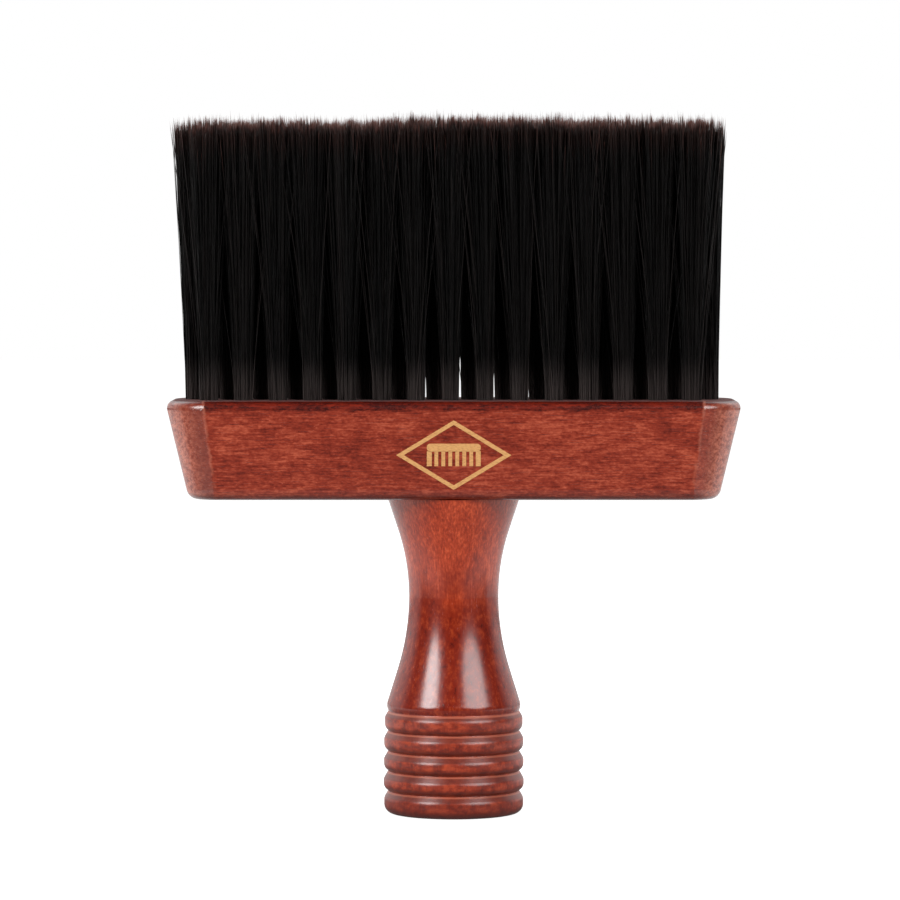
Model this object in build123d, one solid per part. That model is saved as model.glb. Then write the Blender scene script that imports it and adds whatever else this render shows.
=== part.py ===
from build123d import *

import math
import os

# Neck duster brush, in millimetres.
# Origin: centre of the handle's flat foot. +Z runs up the handle to the bristle tips,
# +X runs along the wide head, and the front of the brush faces -Y.

OVERALL_LENGTH = 180.0

# Handle: turned on the Z axis, with a waist, a bulb and five rings above the foot.
HANDLE_LENGTH = 81.0
WAIST_RADIUS = 11.45
WAIST_HEIGHT = 55.7
NECK_ARC_RADIUS = 54.0
NECK_FLARE_DEG = 18.1
BULB_ARC_RADIUS = 62.0
BULB_FLARE_DEG = 17.3
LIP_RADIUS = 17.1
LIP_ROUNDING = 2.7
GROOVE_HEIGHTS = (26.2, 21.2, 16.0, 10.9, 5.8)
GROOVE_WIDTH = 0.5
GROOVE_RADIUS = 16.75
GROOVE_EDGE_RADIUS = 16.95
RING_RADII = (17.65, 17.85, 17.9, 17.95)
RING_SLOPE_DEG = 30.0
RING_TOP_ROUNDING = 1.8
RING_BOTTOM_ROUNDING = 2.0
FOOT_RADIUS = 17.8
FOOT_ROUNDING = 2.4

# Head: one block, wider and deeper at the top. Its round corners are planed off by the flat
# front and back, which leaves an arris where they meet.
HEAD_HEIGHT = 25.0
HEAD_TOP_WIDTH = 146.8
HEAD_TOP_DEPTH = 40.0
HEAD_TOP_CORNER = 13.8
HEAD_BOTTOM_WIDTH = 134.4
HEAD_BOTTOM_DEPTH = 37.0
HEAD_BOTTOM_CORNER = 9.4
ARRIS_DEG = 15.0
TOP_EDGE_ROUNDING = 2.0
BOTTOM_EDGE_ROUNDING = 3.0

# Dowel that joins the handle to the head, glued into both.
DOWEL_DIAMETER = 10.0
DOWEL_LENGTH = 28.0
DOWEL_CHAMFER = 1.0
DOWEL_FLUTES = 16
FLUTE_RADIUS = 0.5
DOWEL_END_GAP = 0.5
HEAD_SOCKET_DEPTH = 12.5

# Tufts: three staggered rows of folded filaments. The holes are drilled slightly off the
# head's middle, the outer rows more than the middle one.
TUFT_PITCH = 8.76
ROW_PITCH = 8.3
OUTER_ROW_SHIFT = -0.8
MIDDLE_ROW_SHIFT = -0.45
ROWS = {  # row: place in depth, count of tufts, shift along X
    "front": (-1, 15, OUTER_ROW_SHIFT),
    "middle": (0, 16, MIDDLE_ROW_SHIFT),
    "back": (1, 15, OUTER_ROW_SHIFT),
}
HOLE_DIAMETER = 4.4
HOLE_DEPTH = 10.0
DRILL_POINT_HEIGHT = 1.3
DRILL_TIP_RADIUS = 0.02
TUFT_SPREAD_HEIGHT = 36.0
TUFT_WIDTH = 8.56
TUFT_DEPTH = 8.1
TUFT_CORNER = 2.0
MOUTH_CORNER = 2.15  # just under half the hole, so that the sides keep a short straight part

# Anchors: flat strips driven across the folded filaments, which bite into the hole's wall.
ANCHOR_THICKNESS = 0.4
ANCHOR_WIDTH = 2.0
ANCHOR_LENGTH = 5.2
ANCHOR_LIFT = 1.0

HEAD_BASE_Z = HANDLE_LENGTH
HEAD_TOP_Z = HANDLE_LENGTH + HEAD_HEIGHT
HOLE_BOTTOM_Z = HEAD_TOP_Z - HOLE_DEPTH
HANDLE_SOCKET_DEPTH = DOWEL_LENGTH + 2 * DOWEL_END_GAP - HEAD_SOCKET_DEPTH

COLOURS = {"wood": (0.45, 0.13, 0.07), "bristle": (0.03, 0.03, 0.03), "metal": (0.7, 0.7, 0.72)}


def tuft_places():
    """Every tuft's row, number in the row and centre."""
    places = []
    for row, (side, count, shift) in ROWS.items():
        for i in range(count):
            x = shift + (i - (count - 1) / 2) * TUFT_PITCH
            places.append((row, i + 1, x, side * ROW_PITCH))
    return places


def flared_arc(radius, flare_deg, upwards):
    """Concave arc from the waist to where the straight flare starts, and that end point."""
    side = 1 if upwards else -1

    def on_arc(angle_deg):
        angle = math.radians(angle_deg)
        r = WAIST_RADIUS + radius * (1 - math.cos(angle))
        return (r, WAIST_HEIGHT + side * radius * math.sin(angle))

    end = on_arc(flare_deg)
    return ThreePointArc(on_arc(0), on_arc(flare_deg / 2), end), end


def ring_top(ring_radius, groove_z):
    """From a groove's lower edge: a straight slope out, then a rounding that ends upright."""
    slope = math.radians(RING_SLOPE_DEG)
    edge = (GROOVE_EDGE_RADIUS, groove_z - GROOVE_WIDTH / 2)
    turn_r = ring_radius - RING_TOP_ROUNDING * (1 - math.cos(slope))
    turn = (turn_r, edge[1] - (turn_r - GROOVE_EDGE_RADIUS) / math.tan(slope))
    upright = (ring_radius, turn[1] - RING_TOP_ROUNDING * math.sin(slope))
    rounding = TangentArc(turn, upright, tangent=(math.sin(slope), -math.cos(slope)))
    return [Line(edge, turn), rounding], upright


def ring_bottom(ring_radius, groove_z):
    """A rounding that starts upright and ends at the upper edge of the groove below."""
    edge = (GROOVE_EDGE_RADIUS, groove_z + GROOVE_WIDTH / 2)
    depth = ring_radius - GROOVE_EDGE_RADIUS
    height = math.sqrt(2 * RING_BOTTOM_ROUNDING * depth - depth**2)
    upright = (ring_radius, edge[1] + height)
    return upright, TangentArc(upright, edge, tangent=(0, -1))


def groove(start, z):
    return ThreePointArc(start, (GROOVE_RADIUS, z), (GROOVE_EDGE_RADIUS, z - GROOVE_WIDTH / 2))


def ring_profile(lip_end):
    """Grooves and rings, from the lip's lower edge to the foot's upright side."""
    edges = [groove(lip_end, GROOVE_HEIGHTS[0])]
    for i, radius in enumerate(RING_RADII):
        top_edges, top_end = ring_top(radius, GROOVE_HEIGHTS[i])
        bottom_start, bottom_edge = ring_bottom(radius, GROOVE_HEIGHTS[i + 1])
        edges += top_edges + [Line(top_end, bottom_start), bottom_edge]
        edges.append(groove(bottom_edge @ 1, GROOVE_HEIGHTS[i + 1]))
    return edges


def foot_profile():
    """The last ring: its top, a straight side and the rounded edge of the flat foot."""
    top_edges, side_top = ring_top(FOOT_RADIUS, GROOVE_HEIGHTS[-1])
    side_bottom = (FOOT_RADIUS, FOOT_ROUNDING)
    flat_edge = (FOOT_RADIUS - FOOT_ROUNDING, 0)
    rounding = TangentArc(side_bottom, flat_edge, tangent=(0, -1))
    return top_edges + [Line(side_top, side_bottom), rounding, Line(flat_edge, (0, 0))]


def handle():
    neck_arc, neck_end = flared_arc(NECK_ARC_RADIUS, NECK_FLARE_DEG, upwards=True)
    bulb_arc, bulb_end = flared_arc(BULB_ARC_RADIUS, BULB_FLARE_DEG, upwards=False)
    collar_rise = HANDLE_LENGTH - neck_end[1]
    collar = (neck_end[0] + collar_rise * math.tan(math.radians(NECK_FLARE_DEG)), HANDLE_LENGTH)

    # The lip is one arc, tangent to the bulb's straight flare, which ends in the first groove.
    slope = math.radians(BULB_FLARE_DEG)
    centre_r = LIP_RADIUS - LIP_ROUNDING
    flare_gain = centre_r + LIP_ROUNDING * math.cos(slope) - bulb_end[0]
    lip_start = (bulb_end[0] + flare_gain, bulb_end[1] - flare_gain / math.tan(slope))
    centre_z = lip_start[1] - LIP_ROUNDING * math.sin(slope)
    lip_end_z = GROOVE_HEIGHTS[0] + GROOVE_WIDTH / 2
    lip_end = (centre_r + math.sqrt(LIP_ROUNDING**2 - (centre_z - lip_end_z) ** 2), lip_end_z)

    edges = [
        Line((0, HANDLE_LENGTH), collar),
        Line(collar, neck_end),
        neck_arc,
        bulb_arc,
        Line(bulb_end, lip_start),
        ThreePointArc(lip_start, (LIP_RADIUS, centre_z), lip_end),
    ]
    edges += ring_profile(lip_end) + foot_profile()
    edges.append(Line((0, 0), (0, HANDLE_LENGTH)))
    section = Plane.XZ * make_face(edges)
    body = revolve(section, axis=Axis.Z)

    socket = Cylinder(DOWEL_DIAMETER / 2, HANDLE_SOCKET_DEPTH, align=(Align.CENTER, Align.CENTER, Align.MAX))
    return body - Pos(0, 0, HANDLE_LENGTH) * socket


def tuft_hole():
    """Hole with the drill's point below it, its mouth at the origin."""
    radius = HOLE_DIAMETER / 2
    shaft = Cylinder(radius, HOLE_DEPTH, align=(Align.CENTER, Align.CENTER, Align.MAX))
    point = Cone(DRILL_TIP_RADIUS, radius, DRILL_POINT_HEIGHT, align=(Align.CENTER, Align.CENTER, Align.MAX))
    return shaft + Pos(0, 0, -HOLE_DEPTH) * point


def anchor():
    """Strip that crosses a hole along X, its centre at the origin."""
    return Box(ANCHOR_LENGTH, ANCHOR_THICKNESS, ANCHOR_WIDTH)


def anchor_place(x, y):
    return Pos(x, y, HOLE_BOTTOM_Z + ANCHOR_LIFT + ANCHOR_WIDTH / 2)


def head_outline(width, depth, corner):
    """Rounded rectangle whose long sides are planed back until they meet the corners at the arris."""
    planed = corner * (1 - math.cos(math.radians(ARRIS_DEG)))
    return RectangleRounded(width, depth + 2 * planed, corner) & Rectangle(width, depth)


def head_block(places):
    bottom = head_outline(HEAD_BOTTOM_WIDTH, HEAD_BOTTOM_DEPTH, HEAD_BOTTOM_CORNER)
    top = head_outline(HEAD_TOP_WIDTH, HEAD_TOP_DEPTH, HEAD_TOP_CORNER)
    block = loft([Pos(0, 0, HEAD_BASE_Z) * bottom, Pos(0, 0, HEAD_TOP_Z) * top], ruled=True)
    block = fillet(block.faces().sort_by(Axis.Z)[-1].edges(), TOP_EDGE_ROUNDING)
    block = fillet(block.faces().sort_by(Axis.Z)[0].edges(), BOTTOM_EDGE_ROUNDING)

    socket = Cylinder(DOWEL_DIAMETER / 2, HEAD_SOCKET_DEPTH, align=(Align.CENTER, Align.CENTER, Align.MIN))
    cutters = [Pos(0, 0, HEAD_BASE_Z) * socket]
    for _, _, x, y in places:
        cutters.append(Pos(x, y, HEAD_TOP_Z) * tuft_hole())
        cutters.append(anchor_place(x, y) * anchor())
    return block - cutters


def joint_dowel():
    """Fluted dowel with chamfered ends, standing half in each socket."""
    dowel = Cylinder(DOWEL_DIAMETER / 2, DOWEL_LENGTH)
    dowel = chamfer(dowel.edges().filter_by(GeomType.CIRCLE), DOWEL_CHAMFER)
    flute = Cylinder(FLUTE_RADIUS, DOWEL_LENGTH)
    dowel -= [loc * flute for loc in PolarLocations(DOWEL_DIAMETER / 2, DOWEL_FLUTES)]
    bottom = HANDLE_LENGTH - HANDLE_SOCKET_DEPTH + DOWEL_END_GAP
    return Pos(0, 0, bottom + DOWEL_LENGTH / 2) * dowel


def tuft():
    """A tuft's envelope at the origin: its folded root in the hole, and its filaments above.

    The filaments leave the hole packed tight and spread until they meet their neighbours.
    """
    root = Cylinder(HOLE_DIAMETER / 2, HOLE_DEPTH, align=(Align.CENTER, Align.CENTER, Align.MAX))
    mouth = RectangleRounded(HOLE_DIAMETER, HOLE_DIAMETER, MOUTH_CORNER)
    full = RectangleRounded(TUFT_WIDTH, TUFT_DEPTH, TUFT_CORNER)
    spread = loft([mouth, Pos(0, 0, TUFT_SPREAD_HEIGHT) * full], ruled=True)
    brush_height = OVERALL_LENGTH - HEAD_TOP_Z - TUFT_SPREAD_HEIGHT
    brush = extrude(Pos(0, 0, TUFT_SPREAD_HEIGHT) * full, brush_height)
    slot = Pos(0, 0, -HOLE_DEPTH + ANCHOR_LIFT + ANCHOR_WIDTH / 2) * anchor()
    return root + spread + brush - slot


def write(name, shape, colour):
    shape.label = name
    shape.color = Color(*COLOURS[colour])
    export_step(shape, f"parts/{name}.step")


def main():
    os.makedirs("parts", exist_ok=True)
    places = tuft_places()
    write("handle", handle(), "wood")
    write("head_block", head_block(places), "wood")
    write("joint_dowel", joint_dowel(), "wood")

    one_tuft = tuft()
    for row, number, x, y in places:
        write(f"tuft_{row}_{number:02d}", Pos(x, y, HEAD_TOP_Z) * one_tuft, "bristle")
    for row in ROWS:
        strips = [anchor_place(x, y) * anchor() for r, _, x, y in places if r == row]
        write(f"tuft_anchors_{row}", Compound(children=strips), "metal")


main()
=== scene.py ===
import math

import bmesh
import bpy
import numpy as np
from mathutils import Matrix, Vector


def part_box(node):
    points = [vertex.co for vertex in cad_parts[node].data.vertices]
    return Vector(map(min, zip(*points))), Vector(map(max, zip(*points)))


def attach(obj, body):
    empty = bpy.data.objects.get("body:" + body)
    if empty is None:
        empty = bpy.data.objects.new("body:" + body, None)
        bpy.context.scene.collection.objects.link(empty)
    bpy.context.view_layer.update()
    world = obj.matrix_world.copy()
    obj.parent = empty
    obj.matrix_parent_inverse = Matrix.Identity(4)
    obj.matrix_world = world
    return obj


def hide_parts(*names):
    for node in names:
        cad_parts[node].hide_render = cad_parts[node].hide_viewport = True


# Looks for the neck duster brush: lacquered wood on the CAD head and handle, a bundle of filaments in
# place of each CAD tuft, a generic printed mark, a pale floor, soft studio light and the camera.
# Lengths are in metres unless a name ends in _MM. The front of the brush faces -Y.

MM = 0.001

# Camera: level with the middle of the bristles and looking slightly down.
CAMERA_DISTANCE = 1.25
CAMERA_HEIGHT = 0.145
CAMERA_AIM = (-0.00095, 0.0, 0.093)
CAMERA_LENS = 195.8
CAMERA_SENSOR = 36.0

# Where the head's stain and painted shade change, in millimetres: the arris of its ends at mid height and
# how far it moves in for each millimetre down, the lower limit of the painted shade on the top edge, its
# darker painted rim, and the line just above the bottom edge, below which shade is painted. Then, on the
# handle, the height where its rings start, the radius of their pale rims and the height of its foot's top.
END_ARRIS_MM = 61.6
ARRIS_SLANT = 0.13
HEAD_MIDDLE_MM = 94.0
TOP_LINE_MM = 103.7
TOP_RIM_MM = 105.6
BOTTOM_LINE_MM = 82.2
RINGS_TOP_MM = 26.6
RING_RIM_RADIUS_MM = 17.02
FOOT_TOP_MM = 7.0

# Colours of beech under the stain, as linear RGB from dark to light. Some also hold painted light, as noted
# below.
HEAD_TONES = ((0.140, 0.0085, 0.0022), (0.330, 0.0335, 0.0125), (0.60, 0.112, 0.053))
# The collar's tones are a lighter stain and partly painted light, for the light it misses facing down.
COLLAR_TONES = ((0.28, 0.0225, 0.0045), (0.53, 0.053, 0.0130), (0.82, 0.122, 0.038))
BULB_TONES = ((0.090, 0.0030, 0.0005), (0.245, 0.0135, 0.0014), (0.43, 0.048, 0.0100))
# The top edge's tones are painted shade.
TOP_EDGE_SHADE_TONES = ((0.045, 0.0012, 0.0003), (0.23, 0.012, 0.0012))
# The end grain's light tone is partly painted reflection.
END_GRAIN_TONES = ((0.23, 0.028, 0.011), (0.68, 0.195, 0.115))
BARE_TONES = ((0.42, 0.25, 0.13), (0.60, 0.40, 0.23), (0.72, 0.53, 0.34))

# Filaments: their size, and where the brown tips and the painted sheen on the feet fade out.
STRANDS_PER_TUFT = 430
STRAND_RADIUS_MM = 0.088
TIP_RADIUS_MM = 0.035
TIP_TAPER_MM = 3.5
ROOT_DEPTH_MM = 2.0
BROWN_FROM_TIP_MM = (10.0, 2.0)
PALE_FROM_TIP_MM = (2.4, 0.3)
FOOT_SHEEN_MM = (118.0, 107.5)

# How a tuft's filaments spread: each on its own, in clumps, and the few that cross or stray.
OWN_SPREAD_MM = 1.0
CLUMPS_PER_TUFT = 30
CLUMP_SPREAD = 0.55
CLUMP_PULL = (0.25, 0.75)
CROSSING_SHARE = 0.10
CROSSING_SPREAD_MM = 3.0
STRAY_SHARE = 0.03
STRAY_MM = (2.5, 8.0)
SPREAD_POWER = 1.15
BEND_MM = 0.28
SEED = 20

# How full a tuft is just above its hole: least near one place along the head, where light shows
# between the tufts, and more away from there.
THINNEST_AT_MM = 5.0
LEAST_FULLNESS = 0.98
FULLNESS_PER_MM = 0.0045
MOST_FULLNESS = 1.12

# The trimmed block: its height, its lean, its sides and how uneven its top is.
TRIM_HEIGHT_MM = 177.25
TALLEST_MM = 179.8
LEAN_MM = -0.8
BLOCK_SIDES_MM = (-71.6, 69.0)
BLOCK_HALF_DEPTH_MM = 12.7
CLUMP_UNEVEN_MM = 0.65
OWN_UNEVEN_MM = 0.32
WISP_SHARE = 0.04
WISP_MM = (0.2, 1.6)
SHORT_SHARE = 0.08
SHORT_MM = (0.5, 8.0)

# Printed mark, in millimetres: half width, half height and line of the lozenge, the comb in it,
# how far below the head's middle it stands, and the ink, which is sunk a little into the wood.
LOZENGE_MM = (14.5, 8.8, 1.0)
COMB_BACK_MM = (13.6, 2.0)
COMB_TEETH = 8
TOOTH_PITCH_MM = 1.76
TOOTH_WIDTH_MM = 0.95
END_TOOTH_WIDTH_MM = 1.25
TOOTH_LENGTH_MM = 3.8
MARK_DROP_MM = 1.0
INK_THICKNESS_MM = 0.06
INK_SUNK_MM = 0.02

# Stage, in metres.
FLOOR_RADIUS = 5.0
LIGHTS_AIM = (0, 0, 0.09)

# How far up each strand its rings of points stand: 0 at the head's top, 1 at the tip.
RING_SHARES = (0.0, 0.13, 0.31, 0.53, 0.76, 0.95)

# ---------------------------------------------------------------- node helpers


def add(tree, kind, inputs=None, **settings):
    """A new node. Each input is a value, or an output socket to link from."""
    made = tree.nodes.new(kind)
    for name, value in settings.items():
        setattr(made, name, value)
    for key, value in (inputs or {}).items():
        if isinstance(value, bpy.types.NodeSocket):
            tree.links.new(value, made.inputs[key])
        else:
            made.inputs[key].default_value = value
    return made


def maths(tree, operation, a, b=0.0, clamp=False):
    return add(tree, "ShaderNodeMath", {0: a, 1: b}, operation=operation, use_clamp=clamp).outputs[0]


def plus(tree, a, b):
    return maths(tree, "ADD", a, b)


def times(tree, a, b):
    return maths(tree, "MULTIPLY", a, b)


def step(tree, value, low, high):
    """0 below low, 1 above high, smooth between. Low may be the larger, which turns it round."""
    made = add(tree, "ShaderNodeMapRange", {"Value": value}, interpolation_type="SMOOTHSTEP")
    swap = low > high
    made.inputs["From Min"].default_value = high if swap else low
    made.inputs["From Max"].default_value = low if swap else high
    made.inputs["To Min"].default_value = 1.0 if swap else 0.0
    made.inputs["To Max"].default_value = 0.0 if swap else 1.0
    return made.outputs["Result"]


def span(tree, value, low, high):
    """A number from 0 to 1 stretched to run from low to high."""
    made = add(tree, "ShaderNodeMapRange", {"Value": value})
    made.inputs["To Min"].default_value = low
    made.inputs["To Max"].default_value = high
    return made.outputs["Result"]


def blend(tree, amount, a, b):
    """Colour a turned towards colour b."""
    made = add(tree, "ShaderNodeMix", {0: amount}, data_type="RGBA")
    for socket, value in ((made.inputs[6], a), (made.inputs[7], b)):
        if isinstance(value, bpy.types.NodeSocket):
            tree.links.new(value, socket)
        else:
            socket.default_value = (*value, 1.0)
    return made.outputs[2]


def tint(tree, colour, where, strength, towards):
    """The colour turned towards another where the mask is 1, by up to this strength."""
    return blend(tree, times(tree, where, strength), colour, towards)


def noise(tree, vector, scale, detail, roughness):
    inputs = {"Vector": vector, "Scale": scale, "Detail": detail, "Roughness": roughness}
    return add(tree, "ShaderNodeTexNoise", inputs).outputs[0]


def split(tree, vector):
    """The three parts of a vector."""
    return add(tree, "ShaderNodeSeparateXYZ", {0: vector}).outputs


def place_in_mm(tree, scale=(1.0, 1.0, 1.0), shift=(0.0, 0.0, 0.0)):
    """The point on the object in millimetres, squeezed by scale, which stretches what is drawn there."""
    coords = add(tree, "ShaderNodeTexCoord").outputs["Object"]
    inputs = {"Vector": coords, "Scale": [s / MM for s in scale], "Location": shift}
    return add(tree, "ShaderNodeMapping", inputs).outputs[0]


def upward(tree):
    """1 where the surface faces up, 0 where it is upright, -1 where it faces down."""
    return split(tree, add(tree, "ShaderNodeNewGeometry").outputs["Normal"])[2]


def new_material(name):
    material = bpy.data.materials.new(name)
    material.use_nodes = True
    tree = material.node_tree
    shader = tree.nodes["Principled BSDF"]
    return material, tree, shader


# ---------------------------------------------------------------- wood


def stretched_noise(tree, along, length, width, shift, detail=3.0, roughness=0.55):
    """Noise whose shapes are about length by width in millimetres, with the length along one axis."""
    scale = [1.0 / width] * 3
    scale[along] = 1.0 / length
    return noise(tree, place_in_mm(tree, scale, (shift, shift * 1.7, shift * 0.6)), 1.0, detail, roughness)


def around_zero(tree, value):
    return maths(tree, "SUBTRACT", value, 0.5)


def patches(tree):
    """Round patches of about 6 mm."""
    return stretched_noise(tree, 0, 6.0, 6.0, 2.2, 3.0, 0.6)


def stain(tree, along, dark, middle, light):
    """Stained beech: blotches where the stain took deeper, fine fibre lines, pale rays and dark pores."""
    clouds = stretched_noise(tree, along, 14.0, 5.0, 3.1, 2.0, 0.5)
    blotch = stretched_noise(tree, along, 3.4, 1.4, 7.3, 3.0, 0.6)
    fibres = stretched_noise(tree, along, 5.0, 0.42, 1.9, 2.0, 0.55)
    grit = stretched_noise(tree, along, 1.0, 0.5, 5.7, 2.0, 0.6)
    tone = 0.0
    for figure, weight in ((clouds, 1.1), (blotch, 1.3), (fibres, 1.7), (grit, 1.6)):
        tone = plus(tree, tone, times(tree, around_zero(tree, figure), weight))
    colour = blend(tree, step(tree, tone, -0.85, 0.15), dark, middle)
    colour = blend(tree, step(tree, tone, -0.15, 0.85), colour, light)
    pores = step(tree, stretched_noise(tree, along, 4.8, 0.26, 9.1, 1.0, 0.4), 0.62, 0.74)
    colour = tint(tree, colour, pores, 0.35, tuple(0.7 * c for c in dark))
    return colour, tone, pores, grit


def lacquer(tree, shader, colour, pores, grit, roughness, specular):
    """Glossy lacquer over the stain; the pores and fibres still show in the surface."""
    tree.links.new(colour, shader.inputs["Base Color"])
    uneven = plus(tree, roughness, span(tree, grit, -0.05, 0.05))
    uneven = plus(tree, uneven, times(tree, pores, 0.05))
    tree.links.new(uneven, shader.inputs["Roughness"])
    height = maths(tree, "SUBTRACT", span(tree, grit, 0.0, 0.6), pores)
    bump = add(tree, "ShaderNodeBump", {"Height": height, "Strength": 0.35, "Distance": 0.02 * MM})
    tree.links.new(bump.outputs[0], shader.inputs["Normal"])
    shader.inputs["IOR"].default_value = 1.5
    shader.inputs["Specular IOR Level"].default_value = specular


def head_wood():
    """Grain along the head, with paler ends that are partly painted reflection, painted shade on the top and
    bottom edges, worn lines beside them and a dull top face.
    """
    material, tree, shader = new_material("stained_wood_head")
    colour, tone, pores, grit = stain(tree, 0, *HEAD_TONES)
    x, _, height = split(tree, place_in_mm(tree))
    left = step(tree, x, 20.0, -20.0)

    # How far out and how high a point is, with ragged limits. The slant of the arris is taken out.
    ragged = around_zero(tree, stretched_noise(tree, 0, 5.0, 1.2, 4.4, 3.0, 0.65))
    out = maths(tree, "ABSOLUTE", x)
    slant = times(tree, maths(tree, "SUBTRACT", HEAD_MIDDLE_MM, height), ARRIS_SLANT)
    reach = plus(tree, plus(tree, out, slant), times(tree, ragged, 1.6))
    level = plus(tree, height, times(tree, ragged, 2.6))

    ends = step(tree, reach, END_ARRIS_MM - 0.2, END_ARRIS_MM + 0.9)
    ends = times(tree, ends, step(tree, upward(tree), 0.95, 0.6))
    colour = pale_ends(tree, colour, ends, reach, left)
    colour = painted_shade_edges(tree, colour, tone, ends, level, height)
    colour = tint(tree, colour, worn_lines(tree, reach, level, out), 0.5, (0.56, 0.165, 0.10))
    top_face = step(tree, upward(tree), 0.93, 0.99)
    lacquer(tree, shader, colour, pores, grit, span(tree, top_face, 0.25, 0.85), 1.0)
    return material


def pale_ends(tree, colour, ends, reach, left):
    """End grain outside the arris, paler outwards as painted reflection. A darker band runs beside the
    arris, deeper on the left.
    """
    start = span(tree, left, END_ARRIS_MM + 1.8, END_ARRIS_MM - 0.5)
    width = span(tree, left, 2.5, 7.5)
    reflection_paling = maths(tree, "DIVIDE", maths(tree, "SUBTRACT", reach, start), width, clamp=True)
    # Painted reflection: the end grain's tint grows towards the outline.
    colour = tint(tree, colour, ends, span(tree, reflection_paling, 0.15, 1.0), end_figure(tree))
    beside_arris = times(tree, step(tree, reach, END_ARRIS_MM + 6.0, END_ARRIS_MM + 1.5), ends)
    return tint(tree, colour, beside_arris, span(tree, left, 0.15, 0.5), (0.14, 0.0120, 0.0040))


def end_figure(tree):
    """Faint growth lines across the block, and the small dots of pores cut across."""
    lines = stretched_noise(tree, 1, 12.0, 1.1, 6.1, 2.0, 0.5)
    dots = stretched_noise(tree, 0, 4.0, 0.55, 8.2, 2.0, 0.6)
    tone = plus(tree, times(tree, lines, 0.5), times(tree, dots, 0.5))
    return blend(tree, step(tree, tone, 0.32, 0.68), *END_GRAIN_TONES)


def painted_shade_edges(tree, colour, tone, ends, level, height):
    """Painted shade: a dark bottom edge, a deep red top edge that fades on the ends, and a darker rim above
    it.
    """
    bottom = step(tree, level, BOTTOM_LINE_MM + 0.4, BOTTOM_LINE_MM - 0.9)
    colour = tint(tree, colour, bottom, 0.6, (0.12, 0.0125, 0.0060))
    top = step(tree, level, TOP_LINE_MM - 0.5, TOP_LINE_MM + 0.4)
    deep_shade = blend(tree, step(tree, tone, -0.5, 0.6), *TOP_EDGE_SHADE_TONES)
    colour = tint(tree, colour, top, span(tree, ends, 0.95, 0.35), deep_shade)
    rim = step(tree, height, TOP_RIM_MM - 0.5, TOP_RIM_MM + 0.1)
    return tint(tree, colour, rim, 0.5, (0.070, 0.0030, 0.0010))


def worn_lines(tree, reach, level, out):
    """Where the stain is rubbed thin: on the arris, and above the bottom edge near its ends."""
    arris = times(tree, step(tree, reach, END_ARRIS_MM - 0.6, END_ARRIS_MM),
                  step(tree, reach, END_ARRIS_MM + 0.6, END_ARRIS_MM + 0.1))
    low = times(tree, step(tree, level, BOTTOM_LINE_MM + 0.7, BOTTOM_LINE_MM + 0.3),
                step(tree, level, BOTTOM_LINE_MM - 0.1, BOTTOM_LINE_MM + 0.2))
    low = times(tree, low, step(tree, out, 48.0, 58.0))
    return times(tree, maths(tree, "MAXIMUM", arris, low), step(tree, patches(tree), 0.40, 0.62))


def handle_wood():
    """Grain up the handle: dull and pale at the collar, the paleness partly painted light, deep red on the
    bulb, mottled on the rings.
    """
    material, tree, shader = new_material("stained_wood_handle")
    pale, _, pores, grit = stain(tree, 2, *COLLAR_TONES)
    x, y, height = split(tree, place_in_mm(tree))
    drift = times(tree, around_zero(tree, patches(tree)), 26.0)
    # Paler above the bulb: a lighter stain, partly painted light where the neck and collar face down.
    colour = blend(tree, step(tree, plus(tree, height, drift), 68.0, 48.0), pale, blotchy_red(tree))

    rings = step(tree, height, RINGS_TOP_MM, RINGS_TOP_MM - 0.3)
    colour = tint(tree, colour, rings, 0.3, pale)
    colour = mottle_rings(tree, colour, rings)
    flat = add(tree, "ShaderNodeCombineXYZ", {0: x, 1: y}).outputs[0]
    radius = add(tree, "ShaderNodeVectorMath", {0: flat}, operation="LENGTH").outputs["Value"]
    colour = shade_rings(tree, colour, rings, radius)
    foot = step(tree, height, FOOT_TOP_MM, 0.0)
    colour = tint(tree, colour, foot, 0.45, (0.14, 0.0110, 0.0030))
    lacquer(tree, shader, colour, pores, grit, span(tree, rings, 0.22, 0.33), 0.85)
    return material


def blotchy_red(tree):
    """Deep gloss stain in small orange and dark red patches, as on turned beech."""
    coarse = noise(tree, place_in_mm(tree, (0.62, 0.62, 0.42), (4, 4, 1)), 1.0, 4.0, 0.62)
    fine = noise(tree, place_in_mm(tree, (1.7, 1.7, 1.1), (1, 6, 2)), 1.0, 2.0, 0.6)
    tone = plus(tree, times(tree, coarse, 0.65), times(tree, fine, 0.35))
    dark, middle, light = BULB_TONES
    colour = blend(tree, step(tree, tone, 0.30, 0.47), dark, middle)
    return blend(tree, step(tree, tone, 0.48, 0.66), colour, light)


def mottle_rings(tree, colour, rings):
    """Small bright and dark patches on the rings."""
    mottle = stretched_noise(tree, 2, 1.7, 2.6, 6.6, 3.0, 0.65)
    bright = times(tree, step(tree, mottle, 0.50, 0.64), rings)
    colour = tint(tree, colour, bright, 0.5, (0.66, 0.090, 0.028))
    dark = times(tree, step(tree, mottle, 0.50, 0.36), rings)
    return tint(tree, colour, dark, 0.6, (0.11, 0.0060, 0.0020))


def shade_rings(tree, colour, rings, radius):
    """Each ring gets painted shade on its sloping top and its underside, and a pale rim by its groove where
    it faces up.
    """
    up = upward(tree)
    # Painted shade on the ring's sloping top.
    shaded_slope = times(tree, step(tree, up, 0.25, 0.45), rings)
    colour = tint(tree, colour, shaded_slope, 0.7, (0.15, 0.018, 0.008))
    rim = step(tree, radius, RING_RIM_RADIUS_MM + 0.1, RING_RIM_RADIUS_MM)
    rim = times(tree, times(tree, rim, step(tree, up, 0.1, 0.3)), rings)
    colour = tint(tree, colour, rim, 0.75, (0.58, 0.150, 0.080))
    # Painted shade on the ring's underside.
    under = times(tree, step(tree, up, -0.1, -0.5), rings)
    return tint(tree, colour, under, 0.6, (0.13, 0.0125, 0.0050))


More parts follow.
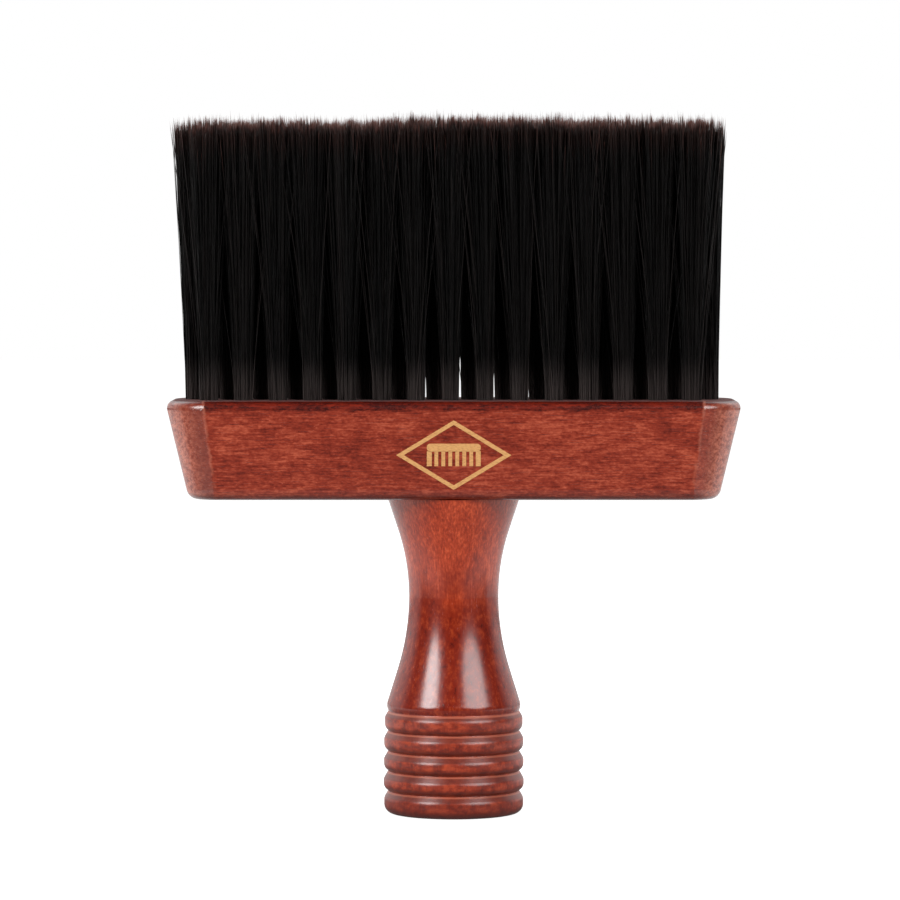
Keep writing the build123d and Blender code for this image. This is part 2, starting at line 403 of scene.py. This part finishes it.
def plain_beech():
    """The dowel's bare wood."""
    material, tree, shader = new_material("bare_beech")
    colour, _, _, grit = stain(tree, 2, *BARE_TONES)
    tree.links.new(colour, shader.inputs["Base Color"])
    tree.links.new(span(tree, grit, 0.6, 0.8), shader.inputs["Roughness"])
    return material


def anchor_metal():
    """Galvanised strip, unevenly dull."""
    material, tree, shader = new_material("galvanised_strip")
    speckle = noise(tree, place_in_mm(tree, (1, 1, 4)), 2.0, 3.0, 0.6)
    colour = blend(tree, speckle, (0.40, 0.40, 0.39), (0.66, 0.66, 0.64))
    tree.links.new(colour, shader.inputs["Base Color"])
    tree.links.new(span(tree, speckle, 0.3, 0.5), shader.inputs["Roughness"])
    shader.inputs["Metallic"].default_value = 1.0
    return material


# ---------------------------------------------------------------- bristles


def bristle_material():
    """Black filament with brown tips and a painted sheen near the feet. Each strand has its own tone, the
    brightest as painted glints, and its distance to the tip.
    """
    material, tree, shader = new_material("bristle_filament")
    tone_and_glint = add(tree, "ShaderNodeAttribute", attribute_name="tone_and_glint").outputs["Fac"]
    to_tip = add(tree, "ShaderNodeAttribute", attribute_name="to_tip").outputs["Fac"]
    black = blend(tree, tone_and_glint, (0.0014, 0.0013, 0.0013), (0.0170, 0.0135, 0.0128))
    brown = blend(tree, tone_and_glint, (0.0100, 0.0041, 0.0033), (0.0580, 0.0250, 0.0205))
    # A painted sheen, paler grey, on the lower part of the strands.
    foot = step(tree, split(tree, place_in_mm(tree))[2], *FOOT_SHEEN_MM)
    black = tint(tree, black, foot, span(tree, tone_and_glint, 0.35, 1.0), (0.095, 0.076, 0.072))
    colour = blend(tree, step(tree, to_tip, *BROWN_FROM_TIP_MM), black, brown)
    colour = tint(tree, colour, step(tree, to_tip, *PALE_FROM_TIP_MM), 0.8, (0.240, 0.100, 0.082))
    tree.links.new(colour, shader.inputs["Base Color"])
    shader.inputs["Roughness"].default_value = 0.36
    shader.inputs["Specular IOR Level"].default_value = 0.22
    shader.inputs["IOR"].default_value = 1.5
    return material


def trim_height_mm(x_mm, y_mm):
    """Height of the trimmed ends: a gentle wave, a little lower towards the left and at both corners."""
    wave = 0.28 * np.sin(x_mm * 0.085 + 1.0) + 0.20 * np.sin(x_mm * 0.23 + 0.3 * y_mm)
    left = -1.3 * np.exp(-(x_mm + 71.0) / 26.0)
    right = -1.6 * np.exp((x_mm - 70.0) / 4.0)
    return TRIM_HEIGHT_MM + wave + left + right


def strand_ends(rng, centre, hole_radius, cell):
    """Where each strand of a tuft leaves its hole and where it ends, from the tuft's middle."""
    count = STRANDS_PER_TUFT
    angle = rng.uniform(0, 2 * math.pi, count)
    reach = np.sqrt(rng.uniform(0, 1, count)) * (hole_radius - STRAND_RADIUS_MM)
    root = np.stack([np.cos(angle), np.sin(angle)], 1) * reach[:, None]

    # Strands splay in proportion to where they stand in the hole, in clumps, and some cross.
    lean = rng.normal(0, 0.5, 2) + (LEAN_MM, 0)
    tip = root * cell / 2 / hole_radius + rng.normal(0, OWN_SPREAD_MM, (count, 2)) + lean
    clump = rng.uniform(-CLUMP_SPREAD, CLUMP_SPREAD, (CLUMPS_PER_TUFT, 2)) * cell + lean
    nearest = np.argmin(((tip[:, None] - clump[None]) ** 2).sum(2), 1)
    tip += (clump[nearest] - tip) * rng.uniform(*CLUMP_PULL, CLUMPS_PER_TUFT)[nearest][:, None]
    crossing = rng.uniform(0, 1, count) < CROSSING_SHARE
    tip[crossing] += rng.normal(0, CROSSING_SPREAD_MM, tip[crossing].shape)
    stray = rng.uniform(0, 1, count) < STRAY_SHARE
    strays = int(stray.sum())
    tip[stray, 0] += rng.choice((-1, 1), strays) * rng.uniform(*STRAY_MM, strays)
    tip[stray, 1] *= 2.0

    # The block keeps nearly straight sides.
    low, high = BLOCK_SIDES_MM[0] - centre[0], BLOCK_SIDES_MM[1] - centre[0]
    tip[:, 0] = np.clip(tip[:, 0], low + rng.uniform(0, 1.6, count), high - rng.uniform(0, 1.6, count))
    front, back = -BLOCK_HALF_DEPTH_MM - centre[1], BLOCK_HALF_DEPTH_MM - centre[1]
    tip[:, 1] = np.clip(tip[:, 1], front + rng.uniform(0, 1.0, count), back - rng.uniform(0, 1.0, count))
    return root, tip, nearest, stray


def strand_tops(rng, centre, tip, nearest):
    """Height of each strand's end: its clump's, its own, a few wisps and a few short ones."""
    count = len(tip)
    top = trim_height_mm(centre[0] + tip[:, 0], centre[1] + tip[:, 1])
    top += rng.normal(0, CLUMP_UNEVEN_MM, CLUMPS_PER_TUFT)[nearest] + rng.normal(0, OWN_UNEVEN_MM, count)
    wisp = rng.uniform(0, 1, count) < WISP_SHARE
    top[wisp] += rng.uniform(*WISP_MM, int(wisp.sum()))
    short = rng.uniform(0, 1, count) < SHORT_SHARE
    top[short] -= rng.uniform(*SHORT_MM, int(short.sum()))
    return np.minimum(top, TALLEST_MM)


def strand_paths(rng, root, tip, length, fullness):
    """Points along each strand, root first: across, deep and up, from the hole's mouth."""
    count = len(root)
    share = np.repeat(np.array(RING_SHARES + (1.0,))[None], count, 0)
    spread = (share ** SPREAD_POWER)[:, :, None]
    mouth = root * fullness
    path = mouth[:, None] + (tip - mouth)[:, None] * spread

    phase = rng.uniform(0, 2 * math.pi, (count, 1, 2))
    bends = rng.uniform(0.6, 1.7, (count, 1, 2)) * math.pi
    size = np.abs(rng.normal(0, BEND_MM, (count, 1, 2)))
    path += size * (np.sin(phase + bends * share[:, :, None]) - np.sin(phase)) * share[:, :, None] ** 0.7

    path = np.concatenate([root[:, None], path], 1)
    height = np.concatenate([np.full((count, 1), -ROOT_DEPTH_MM), share * length[:, None]], 1)
    return np.concatenate([path, height[:, :, None]], 2)


def tapered_rods(rng, paths, to_tip):
    """Points of a three-sided rod round each path, which ends in a point."""
    count = len(paths)
    thick = STRAND_RADIUS_MM * rng.uniform(0.8, 1.2, count)[:, None]
    radius = TIP_RADIUS_MM + (thick - TIP_RADIUS_MM) * np.clip(to_tip / TIP_TAPER_MM, 0, 1)
    turn = rng.uniform(0, 2 * math.pi, count)[:, None] + np.arange(3)[None, :] * 2 * math.pi / 3
    around = np.stack([np.cos(turn), np.sin(turn), np.zeros_like(turn)], -1)
    rings = paths[:, :-1, None] + radius[:, :-1, None, None] * around[:, None]
    return np.concatenate([rings.reshape(count, -1, 3), paths[:, -1:]], 1)


def rod_faces(count, rings):
    """Side quads, tip triangles and root caps of the rods, in that order."""
    per_rod = rings * 3 + 1
    first = np.arange(count)[:, None, None] * per_rod
    side = np.arange(3)
    after = (side + 1) % 3
    level = np.arange(rings - 1)[:, None] * 3
    quads = np.stack([level + side, level + after, level + 3 + after, level + 3 + side], -1)
    last = (rings - 1) * 3
    tips = np.stack([last + side, last + after, np.full(3, per_rod - 1)], -1)
    caps = np.array([[2, 1, 0]])
    parts = [(part.reshape(1, -1, part.shape[-1]) + first) for part in (quads, tips, caps)]
    return [part.reshape(-1, part.shape[-1]).tolist() for part in parts]


def tuft_mesh(name, rng, centre, hole_radius, cell, head_top):
    """One tuft as a mesh of tapered rods, with each strand's tone, including painted glints, and distance to
    its tip.
    """
    root, tip, nearest, stray = strand_ends(rng, centre, hole_radius, cell)
    length = strand_tops(rng, centre, tip, nearest) - head_top
    away = abs(centre[0] - THINNEST_AT_MM) * rng.uniform(0.6, 1.2)
    fullness = min(LEAST_FULLNESS + FULLNESS_PER_MM * away, MOST_FULLNESS)
    paths = strand_paths(rng, root, tip, length, fullness)
    to_tip = length[:, None] - paths[:, :, 2]
    points = tapered_rods(rng, paths, to_tip) + np.array([centre[0], centre[1], head_top])
    sides, tips, caps = rod_faces(len(root), paths.shape[1] - 1)

    mesh = bpy.data.meshes.new(name)
    mesh.from_pydata((points.reshape(-1, 3) * MM).tolist(), [], sides + tips + caps)
    smooth = np.ones(len(mesh.polygons), bool)
    smooth[-len(caps):] = False
    mesh.polygons.foreach_set("use_smooth", smooth)
    # A strand's tone, partly random and in clumps and partly painted glints, brightest on a few strands.
    tone_and_glint = 0.4 * rng.beta(1.1, 4.5, len(root)) + 0.6 * rng.beta(0.6, 2.4, CLUMPS_PER_TUFT)[nearest]
    bright = stray | (rng.uniform(0, 1, len(root)) < 0.03)
    tone_and_glint[bright] = rng.uniform(0.6, 1.0, int(bright.sum()))
    set_values(mesh, "tone_and_glint", np.repeat(tone_and_glint, points.shape[1]))
    ring_values = np.repeat(to_tip[:, :-1], 3, 1)
    set_values(mesh, "to_tip", np.concatenate([ring_values, to_tip[:, -1:]], 1).ravel())
    mesh.update()
    return mesh


def set_values(mesh, name, values):
    """Stores one number for each of the mesh's points."""
    layer = mesh.attributes.new(name, "FLOAT", "POINT")
    layer.data.foreach_set("value", values.astype(np.float32))


def make_tufts(material):
    """A strand bundle in place of each CAD tuft, rooted in that tuft's own hole."""
    head_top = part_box("head_block")[1].z / MM
    tufts = sorted(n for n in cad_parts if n.startswith("tuft_") and "anchors" not in n)
    for number, node in enumerate(tufts):
        low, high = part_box(node)
        centre = ((low.x + high.x) / 2 / MM, (low.y + high.y) / 2 / MM)
        cell = np.array([(high.x - low.x) / MM, (high.y - low.y) / MM])
        name = node.replace("tuft", "strands")
        rng = np.random.default_rng(SEED + number)
        mesh = tuft_mesh(name, rng, centre, hole_radius(node), cell, head_top)
        mesh.materials.append(material)
        piece = bpy.data.objects.new(name, mesh)
        bpy.context.scene.collection.objects.link(piece)
        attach(piece, "root")
        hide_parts(node)


def hole_radius(node):
    """The radius of a CAD tuft's root, which fills its hole, in millimetres."""
    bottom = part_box(node)[0].z
    near_bottom = [v.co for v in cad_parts[node].data.vertices if v.co.z < bottom + 0.1 * MM]
    return (max(c.x for c in near_bottom) - min(c.x for c in near_bottom)) / 2 / MM


# ---------------------------------------------------------------- printed mark


def print_material():
    """Pale gold ink, a little uneven where it crosses the grain."""
    material, tree, shader = new_material("gold_ink")
    speckle = noise(tree, place_in_mm(tree, (0.4, 1, 1.6)), 3.0, 3.0, 0.6)
    colour = blend(tree, step(tree, speckle, 0.42, 0.7), (0.86, 0.46, 0.17), (0.64, 0.29, 0.10))
    tree.links.new(colour, shader.inputs["Base Color"])
    shader.inputs["Roughness"].default_value = 0.45
    return material


def bar(x, z, width, height, corner=0.0, segments=5):
    """Outline of an upright rectangle with round corners, centred at x, z, in millimetres."""
    if not corner:
        return [(x + sx * width / 2, z + sz * height / 2) for sx, sz in ((-1, -1), (1, -1), (1, 1), (-1, 1))]
    points = []
    for quarter, (sx, sz) in enumerate(((1, 1), (-1, 1), (-1, -1), (1, -1))):
        cx, cz = x + sx * (width / 2 - corner), z + sz * (height / 2 - corner)
        for i in range(segments + 1):
            a = math.radians(90 * (quarter + i / segments))
            points.append((cx + corner * math.cos(a), cz + corner * math.sin(a)))
    return points


def lozenge_band(half_width, half_height, line):
    """A lozenge's border as four bands, each an outline of four points."""
    corners = [(half_width, 0), (0, half_height), (-half_width, 0), (0, -half_height)]
    shrink = 1 - line * math.hypot(half_width, half_height) / (half_width * half_height)
    bands = []
    for i in range(4):
        a, b = corners[i], corners[(i + 1) % 4]
        bands.append([a, b, (b[0] * shrink, b[1] * shrink), (a[0] * shrink, a[1] * shrink)])
    return bands


def mark_outlines():
    """A comb inside a lozenge border."""
    outlines = lozenge_band(*LOZENGE_MM)
    outlines.append(bar(0, 1.9, *COMB_BACK_MM, corner=0.9))
    for i in range(COMB_TEETH):
        end_tooth = i in (0, COMB_TEETH - 1)
        width = END_TOOTH_WIDTH_MM if end_tooth else TOOTH_WIDTH_MM
        outlines.append(bar((i - (COMB_TEETH - 1) / 2) * TOOTH_PITCH_MM, -0.9, width, TOOTH_LENGTH_MM))
    return outlines


def front_face():
    """A point and the outward normal of the head's flat front."""
    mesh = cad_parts["head_block"].data
    widest = max((p for p in mesh.polygons if p.normal.y < -0.9), key=lambda p: p.area)
    return widest.center.copy(), widest.normal.copy()


def make_mark(material):
    """The mark lies on the front face, in its middle, as a thin layer of ink."""
    low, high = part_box("head_block")
    point, out = front_face()
    right = Vector((1, 0, 0))
    up = out.cross(right).normalized()
    if up.z < 0:
        up.negate()
    middle_z = (low.z + high.z) / 2 - MARK_DROP_MM * MM
    middle = Vector((0, point.y, point.z)) + up * ((middle_z - point.z) / up.z)
    build = bmesh.new()
    for outline in mark_outlines():
        flat = [middle + right * (x * MM) + up * (z * MM) - out * (INK_SUNK_MM * MM) for x, z in outline]
        face = build.faces.new([build.verts.new(p) for p in flat])
        raised = bmesh.ops.extrude_face_region(build, geom=[face])
        tops = [v for v in raised["geom"] if isinstance(v, bmesh.types.BMVert)]
        bmesh.ops.translate(build, verts=tops, vec=out * (INK_THICKNESS_MM * MM))
    bmesh.ops.recalc_face_normals(build, faces=build.faces)
    mesh = bpy.data.meshes.new("front_mark")
    build.to_mesh(mesh)
    build.free()
    mesh.materials.append(material)
    piece = bpy.data.objects.new("front_mark", mesh)
    bpy.context.scene.collection.objects.link(piece)
    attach(piece, "root")


# ---------------------------------------------------------------- CAD nodes that show as they are


def dress(node, material):
    """A CAD node keeps its shape and gets this material on all its slots."""
    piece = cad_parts[node]
    if not piece.material_slots:
        piece.data.materials.append(material)
    for place in piece.material_slots:
        place.link = "OBJECT"
        place.material = material


# ---------------------------------------------------------------- stage, light and camera


def make_floor():
    """A wide round floor, seen as white."""
    mesh = bpy.data.meshes.new("floor")
    build = bmesh.new()
    bmesh.ops.create_circle(build, cap_ends=True, segments=96, radius=FLOOR_RADIUS)
    build.to_mesh(mesh)
    build.free()
    mesh.materials.append(floor_material())
    floor = bpy.data.objects.new("floor", mesh)
    bpy.context.scene.collection.objects.link(floor)


def floor_material():
    """White to the eye. For light and reflections, bright behind and at the sides, and dim in front."""
    material, tree, shader = new_material("pale_floor")
    shader.inputs["Roughness"].default_value = 0.9
    shader.inputs["Specular IOR Level"].default_value = 0.0
    shader.inputs["Emission Color"].default_value = (1, 1, 1, 1)
    place = add(tree, "ShaderNodeTexCoord").outputs["Object"]
    reach = add(tree, "ShaderNodeVectorMath", {0: place}, operation="LENGTH").outputs["Value"]
    x, y, _ = split(tree, place)
    sides = step(tree, maths(tree, "ABSOLUTE", x), 0.06, 0.22)
    behind = step(tree, y, 0.0, 0.12)
    near = step(tree, maths(tree, "SUBTRACT", reach, times(tree, behind, 0.9)), 0.6, 0.12)
    white = times(tree, span(tree, maths(tree, "MAXIMUM", sides, behind), 0.22, 1.0), near)
    grey = blend(tree, white, (0.07, 0.07, 0.07), (0.62, 0.62, 0.62))
    tree.links.new(grey, shader.inputs["Base Color"])
    to_eye = add(tree, "ShaderNodeLightPath").outputs["Is Camera Ray"]
    glow = times(tree, span(tree, step(tree, reach, 0.12, 0.7), 0.97, 1.05), to_eye)
    glow = maths(tree, "MAXIMUM", glow, times(tree, white, 0.45))
    tree.links.new(glow, shader.inputs["Emission Strength"])
    return material


def make_world():
    """White to the eye; for light and reflections, bright behind, more to the left, and dim elsewhere."""
    world = bpy.data.worlds.new("studio")
    bpy.context.scene.world = world
    world.use_nodes = True
    tree = world.node_tree
    tree.nodes.clear()
    direction = add(tree, "ShaderNodeTexCoord").outputs["Generated"]
    x, y, _ = split(tree, direction)
    turned = maths(tree, "SUBTRACT", y, times(tree, x, 0.06))
    strength = span(tree, step(tree, turned, 0.0, 0.5), 0.06, 0.85)
    lit = add(tree, "ShaderNodeBackground", {"Color": (1, 1, 1, 1), "Strength": strength})
    seen = add(tree, "ShaderNodeBackground", {"Color": (1, 1, 1, 1), "Strength": 1.0})
    to_eye = add(tree, "ShaderNodeLightPath").outputs["Is Camera Ray"]
    mixed = add(tree, "ShaderNodeMixShader", {0: to_eye, 1: lit.outputs[0], 2: seen.outputs[0]})
    add(tree, "ShaderNodeOutputWorld", {"Surface": mixed.outputs[0]})


def softbox(name, azimuth, elevation, distance, width, height, power):
    """An area light that faces the brush. Azimuth 0 is the camera's side, and positive is its right."""
    a, e = math.radians(azimuth), math.radians(elevation)
    offset = Vector((math.sin(a) * math.cos(e), -math.cos(a) * math.cos(e), math.sin(e)))
    light = bpy.data.lights.new(name, "AREA")
    light.shape = "ELLIPSE"
    light.size = width
    light.size_y = height
    light.energy = power
    lamp = bpy.data.objects.new(name, light)
    lamp.location = Vector(LIGHTS_AIM) + offset * distance
    lamp.rotation_euler = (-offset).to_track_quat("-Z", "Y").to_euler()
    bpy.context.scene.collection.objects.link(lamp)


def make_lights():
    softbox("key_left", -47, 27, 1.3, 0.62, 0.78, 11.4)
    softbox("fill_right", 43, 27, 1.3, 0.98, 0.78, 9.6)
    softbox("back_left", -140, 35, 1.4, 0.7, 0.8, 1.5)
    softbox("back_right", 140, 35, 1.4, 0.7, 0.8, 1.2)


def make_camera():
    data = bpy.data.cameras.new("camera")
    data.sensor_width = CAMERA_SENSOR
    data.lens = CAMERA_LENS
    data.clip_end = 50.0
    camera = bpy.data.objects.new("camera", data)
    camera.location = (CAMERA_AIM[0], -CAMERA_DISTANCE, CAMERA_HEIGHT)
    look = Vector(CAMERA_AIM) - camera.location
    camera.rotation_euler = look.to_track_quat("-Z", "Y").to_euler()
    bpy.context.scene.collection.objects.link(camera)
    bpy.context.scene.camera = camera


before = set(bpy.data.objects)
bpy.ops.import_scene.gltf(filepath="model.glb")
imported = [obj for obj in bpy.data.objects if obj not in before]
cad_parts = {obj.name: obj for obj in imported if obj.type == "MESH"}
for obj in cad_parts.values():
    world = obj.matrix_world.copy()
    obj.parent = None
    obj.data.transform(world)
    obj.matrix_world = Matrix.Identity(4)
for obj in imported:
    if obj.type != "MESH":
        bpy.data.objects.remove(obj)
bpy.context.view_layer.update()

make_camera()
dress("head_block", head_wood())
dress("handle", handle_wood())
dress("joint_dowel", plain_beech())
strip = anchor_metal()
for row in ("front", "middle", "back"):
    dress("tuft_anchors_" + row, strip)
make_tufts(bristle_material())
make_mark(print_material())
make_floor()
make_world()
make_lights()
bpy.context.scene.view_settings.view_transform = "Standard"
